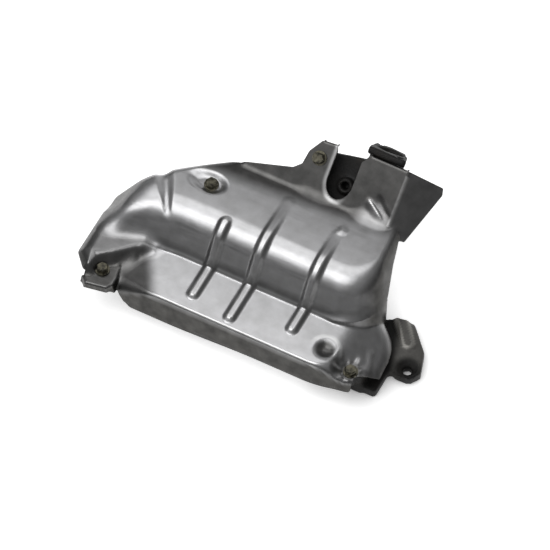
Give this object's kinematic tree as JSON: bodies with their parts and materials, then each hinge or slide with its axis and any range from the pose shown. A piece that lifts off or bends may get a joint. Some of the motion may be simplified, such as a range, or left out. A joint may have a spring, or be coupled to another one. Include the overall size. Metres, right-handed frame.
{
  "type": "exhaust manifold heat shield",
  "caption": "Pressed sheet-metal heat shield with stiffening beads, a rear ear and an outlet hood, bolted over a cast exhaust manifold.",
  "frame": {"origin": "on the head flange's resting face, below the middle bead of the shield", "axes": "+X along the shield from the bolt tab to the outlet's side, +Y from the front skirt to the rear outlet, +Z out of the panel, away from the cylinder head"},
  "size_m": [0.3374, 0.2441, 0.126],
  "materials": {
    "shield_sheet": "satin aluminised pressed sheet",
    "casting": "rough as cast",
    "bolt_zinc": "dull zinc"
  },
  "bodies": {
    "root": {"heat_shield": "shield_sheet", "exhaust_manifold": "casting", "bolt_left": "bolt_zinc", "bolt_right": "bolt_zinc", "bolt_crown": "bolt_zinc", "bolt_ear": "bolt_zinc"}
  },
  "joints": []
}
